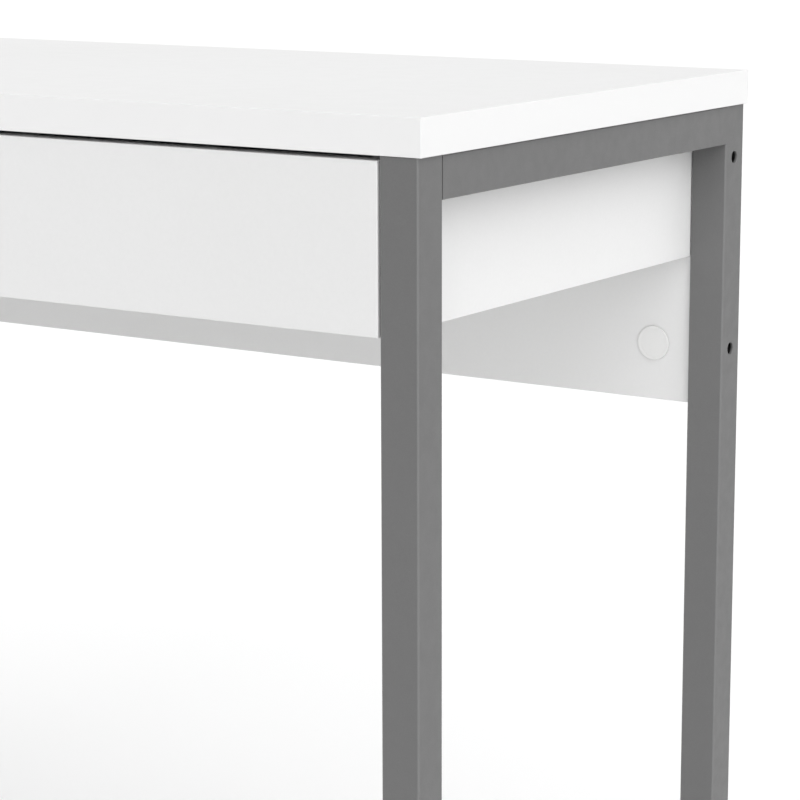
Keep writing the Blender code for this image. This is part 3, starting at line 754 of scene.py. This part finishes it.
def make_glide_pad(looks, node, low, high, top):
    """A pad with round edges, and rings moulded in its sole."""
    bm = bmesh.new()
    add_prism(bm, rounded_rectangle(low, high, TUBE_CORNER, TUBE_CORNER_STEPS), Z, low.z, top)
    bevel_edges(bm, edges_at(bm, Z, low.z) + edges_at(bm, Z, top), PAD_EDGE, 3)
    sole = ((low.x + high.x) / 2, (low.y + high.y) / 2, low.z)
    cutters = bmesh.new()
    for inner, outer, steps in SOLE_RINGS:
        ring = [(inner, OVERCUT), (outer, OVERCUT), (outer, -SOLE_RING_DEPTH), (inner, -SOLE_RING_DEPTH)]
        add_turned(cutters, ring + ring[:1], sole, (0, 0, -1), steps)
    new_piece(f"{node}_pad", bm, looks["glide"], "desk", [node], cutters)


def make_caps(looks):
    """Thin press-in caps over the back panel's cams."""
    for side in SIDES:
        for height in HEIGHTS:
            node = f"cam_cap_{height}_{side}"
            low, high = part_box(node)
            place = ((low.x + high.x) / 2, high.y, (low.z + high.z) / 2)
            profile = cap_profile((high.x - low.x) / 2, high.y - low.y)
            bm = turned(profile, place, (0, -1, 0), WHEEL_STEPS)
            new_piece(f"{node}_disc", bm, looks["cap"], "desk", [node])


def cap_profile(radius, thick):
    """From the middle of the flat face, over a shallow ring and the round rim, to the back."""
    ring, rim, face = radius * CAP_RING, thick * CAP_RIM, thick * CAP_FACE
    profile = [(0, thick * CAP_MIDDLE), (ring - CAP_RING_WIDTH, face)]
    profile += [(ring, thick * CAP_GROOVE), (ring + CAP_RING_WIDTH, face)]
    profile += arc((radius - rim, thick - rim), rim, 90, 0, CORNER_STEPS)
    return profile + [(radius, 0), (0, 0)]


# ---- fasteners ----


def cross_cutter(reach, width, depth, top):
    """A cross recess that narrows as it goes down from the top."""
    half = width / 2
    quarter_turns = ((1, 0), (0, 1), (-1, 0), (0, -1))
    outline = []
    for cos, sin in quarter_turns:
        for x, y in ((reach, -half), (reach, half), (half, half)):
            outline.append((x * cos - y * sin, x * sin + y * cos))
    narrow = [(x * RECESS_TAPER, y * RECESS_TAPER) for x, y in outline]
    bm = bmesh.new()
    above = add_ring(bm, outline, Z, top + OVERCUT)
    below = add_ring(bm, narrow, Z, top - depth)
    bm.faces.new(above)
    bm.faces.new(below)
    join_rings(bm, above, below)
    return bm


def screw_mesh(head_radius, head_height, shank_radius, length):
    """A screw with a domed head and a cross recess. Its head sits on Z = 0 and its shank runs down."""
    profile = []
    for step in range(CORNER_STEPS + 1):
        angle = math.radians(90 * step / CORNER_STEPS)
        height = head_height * (HEAD_RIM + (1 - HEAD_RIM) * math.cos(angle))
        profile.append((head_radius * math.sin(angle), height))
    profile += [(head_radius, 0), (shank_radius, 0), (shank_radius, 2 * shank_radius - length), (0, -length)]
    holder = add_object("screw_shape", turned(profile, (0, 0, 0), (0, 0, 1), ROUND_STEPS))
    reach, width = head_radius * SCREW_RECESS_REACH, head_radius * SCREW_RECESS_WIDTH
    cut_away(holder, cross_cutter(reach, width, head_height * SCREW_RECESS_DEPTH, head_height))
    made = holder.data
    bpy.data.objects.remove(holder)
    soften(made)
    return made


def place_screw(name, mesh, finish, body, place, direction, replaced=()):
    """A copy of the screw, with its head on the place and facing the direction."""
    copy = mesh.copy()
    copy.name = name
    copy.materials.clear()
    copy.materials.append(finish)
    copy.transform(Matrix.Translation(place) @ turn_to(direction))
    piece = bpy.data.objects.new(name, copy)
    bpy.context.scene.collection.objects.link(piece)
    settle(piece, body, replaced)


def screws_in_nodes(looks, kind, sizes, faces_down=False):
    """Puts a fine screw in place of each node of a kind. Its head faces down, or the desk's middle."""
    mesh = screw_mesh(*sizes)
    head_height = sizes[1]
    for end in ENDS:
        for side, out in SIDES.items():
            node = f"{kind}_{end}_{side}"
            low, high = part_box(node)
            seat = (low + high) / 2
            if faces_down:
                direction = (0, 0, -1)
                seat.z = low.z + head_height
            else:
                direction = (-out, 0, 0)
                seat.x = outer_and_inner(low, high, out)[1] + out * head_height
            place_screw(f"{node}_fine", mesh, looks["zinc"], "desk", seat, direction, [node])
    bpy.data.meshes.remove(mesh)


def make_screws(looks):
    screws_in_nodes(looks, "desktop_screw", DESKTOP_SCREW, faces_down=True)
    screws_in_nodes(looks, "side_panel_screw", PANEL_SCREW)
    screws_in_nodes(looks, "case_runner_screw", RUNNER_SCREW)


def make_bolts(looks):
    """Cylinder-head bolts with a hexagon socket, deep in the holes of the rear legs."""
    socket = [(0, BOLT_HEAD + OVERCUT), (SOCKET_RADIUS, BOLT_HEAD + OVERCUT)]
    socket += [(SOCKET_RADIUS, BOLT_HEAD - SOCKET_DEPTH), (0, BOLT_HEAD - SOCKET_DEPTH - SOCKET_TIP)]
    for side, out in SIDES.items():
        for height in HEIGHTS:
            node = f"back_panel_bolt_{height}_{side}"
            low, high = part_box(node)
            radius, length = (high.z - low.z) / 2, high.x - low.x - BOLT_HEAD
            shank = radius * BOLT_SHANK_SHARE
            profile = [(0, BOLT_HEAD), (radius - BOLT_EDGE, BOLT_HEAD), (radius, BOLT_HEAD - BOLT_EDGE)]
            profile += [(radius, 0), (shank, 0), (shank, -length), (0, -length)]
            outer, _ = outer_and_inner(low, high, out)
            seat = (outer - out * BOLT_HEAD, (low.y + high.y) / 2, (low.z + high.z) / 2)
            bm = turned(profile, seat, (out, 0, 0), ROUND_STEPS)
            cutters = turned(socket, seat, (out, 0, 0), HEXAGON_STEPS)
            new_piece(f"{node}_fine", bm, looks["dark_zinc"], "desk", [node], cutters)


def make_drawer_cams(looks):
    """Cams in the drawer's sides: a disc with a shallow ring, a chamfer and a cross recess."""
    for side, out in SIDES.items():
        node = f"drawer_cam_{side}"
        low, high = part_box(node)
        radius, depth = (high.z - low.z) / 2, high.x - low.x
        _, inner = outer_and_inner(low, high, out)
        face = Vector((inner, (low.y + high.y) / 2, (low.z + high.z) / 2))
        ring = [(radius * share, level) for share, level in zip(CAM_RING, (0, -CAM_STEP, -CAM_STEP, 0))]
        profile = [(0, 0), *ring, (radius - CAM_EDGE, 0), (radius, -CAM_STEP), (radius, -depth), (0, -depth)]
        bm = turned(profile, face, (-out, 0, 0), CAM_STEPS)
        recess = cross_cutter(radius * CAM_RECESS_REACH, radius * CAM_RECESS_WIDTH, CAM_RECESS_DEPTH, 0)
        recess.transform(Matrix.Translation(face) @ turn_to((-out, 0, 0)))
        new_piece(f"{node}_fine", bm, looks["zinc"], "drawer", [node], recess)


def make_back_screws(looks):
    """Screws through the drawer's sides into its back, with their heads almost flush."""
    low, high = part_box("drawer_back")
    mesh = screw_mesh(*BACK_SCREW)
    for side, out in SIDES.items():
        outer, _ = outer_and_inner(*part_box(f"drawer_side_{side}"), out)
        for row, share in BACK_SCREW_PLACES.items():
            place = (outer, (low.y + high.y) / 2, low.z + (high.z - low.z) * share)
            name = f"drawer_back_screw_{row}_{side}"
            place_screw(name, mesh, looks["zinc"], "drawer", place, (out, 0, 0))
    bpy.data.meshes.remove(mesh)


def make_foot_screws(looks):
    """Screws through the foot of each drawer runner, up into the drawer's side."""
    mesh = screw_mesh(*FOOT_SCREW)
    for side in SIDES:
        low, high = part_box(f"drawer_runner_{side}")
        x = centre_of(f"drawer_side_{side}").x
        for row, share in FOOT_SCREW_PLACES.items():
            place = (x, low.y + (high.y - low.y) * share, low.z)
            name = f"drawer_runner_screw_{row}_{side}"
            place_screw(name, mesh, looks["zinc"], "drawer", place, (0, 0, -1))
    bpy.data.meshes.remove(mesh)


def make_buttons(looks):
    """Soft clear buttons on the side panels' front ends."""
    rim = BUTTON_HEIGHT * BUTTON_ROUND
    profile = [(0, BUTTON_HEIGHT)]
    profile += arc((BUTTON_RADIUS - rim, BUTTON_HEIGHT - rim), rim, 90, 0, CORNER_STEPS)
    profile += [(BUTTON_RADIUS, 0), (0, 0)]
    for side in SIDES:
        panel_low, panel_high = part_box(f"side_panel_{side}")
        place = ((panel_low.x + panel_high.x) / 2, panel_low.y, (panel_low.z + panel_high.z) / 2)
        bm = turned(profile, place, (0, -1, 0), ROUND_STEPS)
        new_piece(f"drawer_button_{side}", bm, looks["button"], "desk")


# ---- runners ----


def bent_sheet(*path):
    """Outline of the runners' sheet, bent at right angles along a path of its middle line."""
    path = [Vector(point) for point in path]
    half, middle = SHEET / 2, BEND + SHEET / 2
    first, second = [], []
    for i, corner in enumerate(path):
        before = (corner - path[i - 1]).normalized() if i else None
        after = (path[i + 1] - corner).normalized() if i + 1 < len(path) else None
        if before is None or after is None:
            along = before or after
            normal = Vector((-along.y, along.x)) * half
            first.append(corner + normal)
            second.append(corner - normal)
            continue
        turn = 1 if before.x * after.y - before.y * after.x > 0 else -1
        start_normal = Vector((-before.y, before.x)) * turn
        centre = corner - before * middle + start_normal * middle
        for step in range(BEND_STEPS + 1):
            angle = math.pi / 2 * step / BEND_STEPS
            direction = -start_normal * math.cos(angle) + before * math.sin(angle)
            first.append(centre + direction * (middle - turn * half))
            second.append(centre + direction * (middle + turn * half))
    return first + second[::-1]


def web_slots(web_x, low, high, shares):
    """Cutters for slots with round ends in a web that lies across X, at shares of the runner's length."""
    middle_z = (low.z + high.z) / 2
    cutters = bmesh.new()
    for share in shares:
        y = low.y + (high.y - low.y) * share
        start = (y - SLOT_LENGTH / 2, middle_z - SLOT_WIDTH / 2)
        end = (y + SLOT_LENGTH / 2, middle_z + SLOT_WIDTH / 2)
        outline = rounded_rectangle(start, end, SLOT_ROUND, SLOT_STEPS)
        add_prism(cutters, outline, X, web_x - 2 * SHEET, web_x + 2 * SHEET)
    return cutters


def make_case_runners(looks):
    """A C section on each side panel, with slots in its web and a round tongue that carries the roller."""
    for side, out in SIDES.items():
        node = f"case_runner_{side}"
        low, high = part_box(node)
        outer, rim_x = outer_and_inner(low, high, out)
        web_x = outer - out * SHEET / 2
        bottom, top = low.z + SHEET / 2, high.z - SHEET / 2
        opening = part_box(f"case_roller_{side}")[1].y + 2 * OVERCUT
        section = bent_sheet((rim_x, bottom), (web_x, bottom), (web_x, top), (rim_x, top))
        bm = bmesh.new()
        add_prism(bm, section, Y, opening, high.y)
        slots = web_slots(web_x, low, high, CASE_SLOTS)
        new_piece(f"{node}_section", bm, looks["runner"], "desk", [node], slots)
        make_tongue(looks, f"{node}_tongue", web_x, opening + OVERCUT, low, high)
        make_stop(looks, f"{node}_stop", side, out, web_x, high.z)


def make_tongue(looks, name, web_x, end, low, high):
    """The round front end of a case runner's web, back to where its flanges begin."""
    middle_z = (low.z + high.z) / 2
    radius = (high.z - low.z) / 2 - BEND
    outline = arc((low.y + radius, middle_z), radius, 90, 270, TONGUE_STEPS)
    outline += [(end, middle_z - radius), (end, middle_z + radius)]
    bm = bmesh.new()
    add_prism(bm, outline, X, web_x - SHEET / 2 + SEAM, web_x + SHEET / 2 - SEAM)
    new_piece(name, bm, looks["runner"], "desk")


def make_stop(looks, name, side, out, web_x, runner_top):
    """A lug pressed down from the upper flange. The drawer's roller meets it at full travel."""
    travel = next(joint for joint in frame["joints"] if joint["name"] == "drawer_slide")["range_m"][1]
    roller_low, roller_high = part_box(f"drawer_roller_{side}")
    radius = (roller_high.z - roller_low.z) / 2
    axle = (roller_low + roller_high) / 2
    bottom, top = runner_top - SHEET - STOP_DROP, runner_top - SHEET / 2
    reach = math.sqrt(radius**2 - (bottom - axle.z) ** 2)
    back = axle.y - travel - reach - STOP_ROOM
    front = back - SHEET
    start, end = sorted(web_x - out * distance for distance in STOP_ENDS)
    bm = bmesh.new()
    add_prism(bm, [(back, bottom), (back, top), (front - STOP_SLOPE, top), (front, bottom)], X, start, end)
    bevel_edges(bm, list(bm.edges), STOP_EDGE, 2)
    new_piece(name, bm, looks["runner"], "desk")


def make_drawer_runners(looks):
    """A stepped section on each drawer side: foot, web and flange, with slots in the web."""
    for side, out in SIDES.items():
        node = f"drawer_runner_{side}"
        low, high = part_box(node)
        board_x, _ = outer_and_inner(*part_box(f"drawer_side_{side}"), out)
        web_x = board_x + out * (BOARD_GAP + SHEET / 2)
        rim_x, foot_x = outer_and_inner(low, high, out)
        bottom, top = low.z + SHEET / 2, high.z - SHEET / 2
        section = bent_sheet((rim_x, top), (web_x, top), (web_x, bottom), (foot_x, bottom))
        bm = bmesh.new()
        add_prism(bm, section, Y, low.y, high.y)
        slots = web_slots(web_x, low, high, DRAWER_SLOTS)
        new_piece(f"{node}_section", bm, looks["runner"], "drawer", [node], slots)


def roller_profile(radius, half):
    """Half section of a roller: bore, hub, a dish in each face, and a round tread with a fine groove."""
    hub, rim = ROLLER_BORE + ROLLER_HUB_WALL, radius - ROLLER_RIM_WALL
    dish, lip = half - ROLLER_DISH, half - ROLLER_STEP
    upper = [(ROLLER_BORE, half), (hub - ROLLER_STEP, half), (hub, lip), (hub, dish), (rim, dish), (rim, lip)]
    upper += [(rim + ROLLER_STEP, half)]
    upper += arc((radius - ROLLER_EDGE, half - ROLLER_EDGE), ROLLER_EDGE, 90, 0, 4)
    upper += [(radius - depth, width) for depth, width in ROLLER_GROOVE]
    lower = [(r, -h) for r, h in reversed(upper)]
    return upper + lower + upper[:1]


def make_rollers(looks):
    """The case's rollers turn on rivets with their heads inwards, the drawer's with theirs outwards."""
    for kind, head_side in {"case": -1, "drawer": 1}.items():
        body = "desk" if kind == "case" else "drawer"
        for side, out in SIDES.items():
            node = f"{kind}_roller_{side}"
            low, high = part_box(node)
            profile = roller_profile((high.z - low.z) / 2, (high.x - low.x) / 2)
            bm = turned(profile, (low + high) / 2, (1, 0, 0), WHEEL_STEPS)
            new_piece(f"{node}_wheel", bm, looks["nylon"], node, [node])
            make_rivet(looks, f"{kind}_roller_axle_{side}", body, head_side * out)


def make_rivet(looks, node, body, direction):
    """The pin of a roller, with a domed head at the end that the direction points to."""
    low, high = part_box(node)
    start = (low.x if direction > 0 else high.x, (low.y + high.y) / 2, (low.z + high.z) / 2)
    length, head_radius = high.x - low.x, (high.z - low.z) / 2
    seat, dome = length - PIN_HEAD, PIN_HEAD - PIN_EDGE
    profile = [(0, 0), (PIN_RADIUS - PIN_EDGE, 0), (PIN_RADIUS, PIN_EDGE), (PIN_RADIUS, seat)]
    profile += [(head_radius, seat), (head_radius, seat + PIN_EDGE)]
    for angle in PIN_DOME_ANGLES:
        profile.append((head_radius * math.cos(angle), seat + PIN_EDGE + dome * math.sin(angle)))
    profile += [(0, length)]
    bm = turned(profile, start, (direction, 0, 0), ROUND_STEPS)
    new_piece(f"{node}_rivet", bm, looks["zinc"], body, [node])


# ---- the scene around the desk ----


def make_floor(looks):
    corners = [(x * FLOOR_REACH, y * FLOOR_REACH, 0) for x, y in ((-1, -1), (1, -1), (1, 1), (-1, 1))]
    mesh = bpy.data.meshes.new("floor")
    mesh.from_pydata(corners, [], [(0, 1, 2, 3)])
    mesh.materials.append(looks["floor"])
    floor = bpy.data.objects.new("floor", mesh)
    bpy.context.scene.collection.objects.link(floor)


def sun(name, direction, strength, softness):
    data = bpy.data.lights.new(name, "SUN")
    data.energy = strength
    data.angle = math.radians(softness)
    light = bpy.data.objects.new(name, data)
    bpy.context.scene.collection.objects.link(light)
    light.rotation_euler = Vector(direction).to_track_quat("Z", "Y").to_euler()


def studio_walls():
    """Surroundings that look white, and light the desk more from behind it than from its front."""
    world = bpy.data.worlds.new("studio")
    world.use_nodes = True
    tree = world.node_tree
    background = tree.nodes["Background"]
    background.inputs["Color"].default_value = (1, 1, 1, 1)
    along = tree.nodes.new("ShaderNodeVectorMath")
    along.operation = "DOT_PRODUCT"
    along.inputs[1].default_value = Vector(BACK_DIRECTION).normalized()
    tree.links.new(tree.nodes.new("ShaderNodeTexCoord").outputs["Generated"], along.inputs[0])
    strength = spread(tree, along.outputs["Value"], BACK_RANGE, (AMBIENT, BACK_AMBIENT))
    seen = tree.nodes.new("ShaderNodeMix")
    tree.links.new(tree.nodes.new("ShaderNodeLightPath").outputs["Is Camera Ray"], seen.inputs["Factor"])
    tree.links.new(strength, seen.inputs["A"])
    seen.inputs["B"].default_value = 1
    tree.links.new(seen.outputs["Result"], background.inputs["Strength"])
    return world


def make_studio(looks):
    scene = bpy.context.scene
    scene.view_settings.view_transform = "Standard"
    scene.world = studio_walls()
    sun("key_light", KEY_DIRECTION, KEY_STRENGTH, KEY_SOFTNESS)
    sun("top_light", TOP_DIRECTION, TOP_STRENGTH, TOP_SOFTNESS)
    make_floor(looks)


def make_camera():
    """The photograph's view: from the front right, a little above the top, through a long lens."""
    top_low, top_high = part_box("desktop")
    corner = Vector((top_high.x, top_low.y, top_low.z))
    data = bpy.data.cameras.new("camera")
    data.lens = CAMERA_LENS
    data.sensor_width = 36
    data.clip_end = 200
    camera = bpy.data.objects.new("camera", data)
    bpy.context.scene.collection.objects.link(camera)
    place = corner + Vector(CAMERA_FROM_CORNER)
    heading = Matrix.Rotation(math.radians(CAMERA_HEADING), 4, "Z")
    tilt = Matrix.Rotation(math.radians(90 + CAMERA_TILT), 4, "X")
    roll = Matrix.Rotation(math.radians(CAMERA_ROLL), 4, "Z")
    camera.matrix_world = Matrix.Translation(place) @ heading @ tilt @ roll
    bpy.context.scene.camera = camera


def make_looks():
    """All finishes. The frame has one for its faces and a lighter one for the corners of its legs, which
    paints a highlight there. The white boards share one laminate in tones that paint light and shade: lighter
    on the top, darker on the drawer front and darker still on the back panel.
    """
    frame_finishes = [
        powder_coat("grey_powder_coat", FRAME_GREY),
        # A lighter grey for the legs' corners: a painted highlight.
        powder_coat("grey_powder_coat_painted_highlight", FRAME_GREY * CORNER_HIGHLIGHT_TONE),
    ]
    black = (0.03, 0.03, 0.03)
    white = (0.715, 0.715, 0.71)
    clear = (0.75, 0.75, 0.73)
    natural = (0.76, 0.76, 0.72)
    return {
        # One white laminate in several tones. The top, 2% lighter, is painted light. The drawer front, 5%
        # darker, and the back panel, 8% darker, are painted shade. The front and back bands carry the same
        # painted shade, and the top's band keeps the plain tone.
        "top": laminate("white_top", WHITE * 1.02),
        "top_band": edge_band("white_top_band", WHITE),
        "front": laminate("white_front_painted_shade", WHITE * 0.95),
        "front_band": edge_band("white_front_band", WHITE * 0.95),
        "panel": laminate("white_panel", WHITE),
        "panel_band": edge_band("white_panel_band", WHITE),
        "back": laminate("white_back_painted_shade", WHITE * 0.92),
        "back_band": edge_band("white_back_band", WHITE * 0.92),
        "hardboard": hardboard("white_hardboard"),
        "frame": frame_finishes,
        "glide": moulded("black_moulding", black, roughness=0.5, grain_scale=900, grain_depth=0.00004),
        "cap": moulded("white_moulding", white, roughness=0.42, grain_scale=1500, grain_depth=0.00001),
        "button": moulded("soft_moulding", clear, roughness=0.25, grain_scale=800, grain_depth=0.00001),
        "nylon": moulded("nylon", natural, roughness=0.38, grain_scale=700, grain_depth=0.00002),
        "runner": coated_steel("white_coated_steel"),
        "zinc": zinc_plate("zinc_plate", 0.62),
        "dark_zinc": zinc_plate("dark_zinc_plate", 0.30),
        "floor": pale_floor("pale_floor"),
    }


def finish_hidden_nodes(looks):
    """The cams behind the caps and the drawer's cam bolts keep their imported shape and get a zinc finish."""
    for node in frame["nodes"].values():
        if not node.hide_render:
            node.data.materials.clear()
            node.data.materials.append(looks["zinc"])


def main():
    make_camera()
    looks = make_looks()
    make_desktop(looks)
    make_side_panels(looks)
    make_back_panel(looks)
    make_legs(looks)
    make_side_rails(looks)
    make_glides(looks)
    make_caps(looks)
    make_drawer_front(looks)
    make_drawer_sides(looks)
    make_drawer_inside(looks)
    make_case_runners(looks)
    make_drawer_runners(looks)
    make_rollers(looks)
    make_screws(looks)
    make_bolts(looks)
    make_drawer_cams(looks)
    make_back_screws(looks)
    make_foot_screws(looks)
    make_buttons(looks)
    finish_hidden_nodes(looks)
    make_studio(looks)


main()
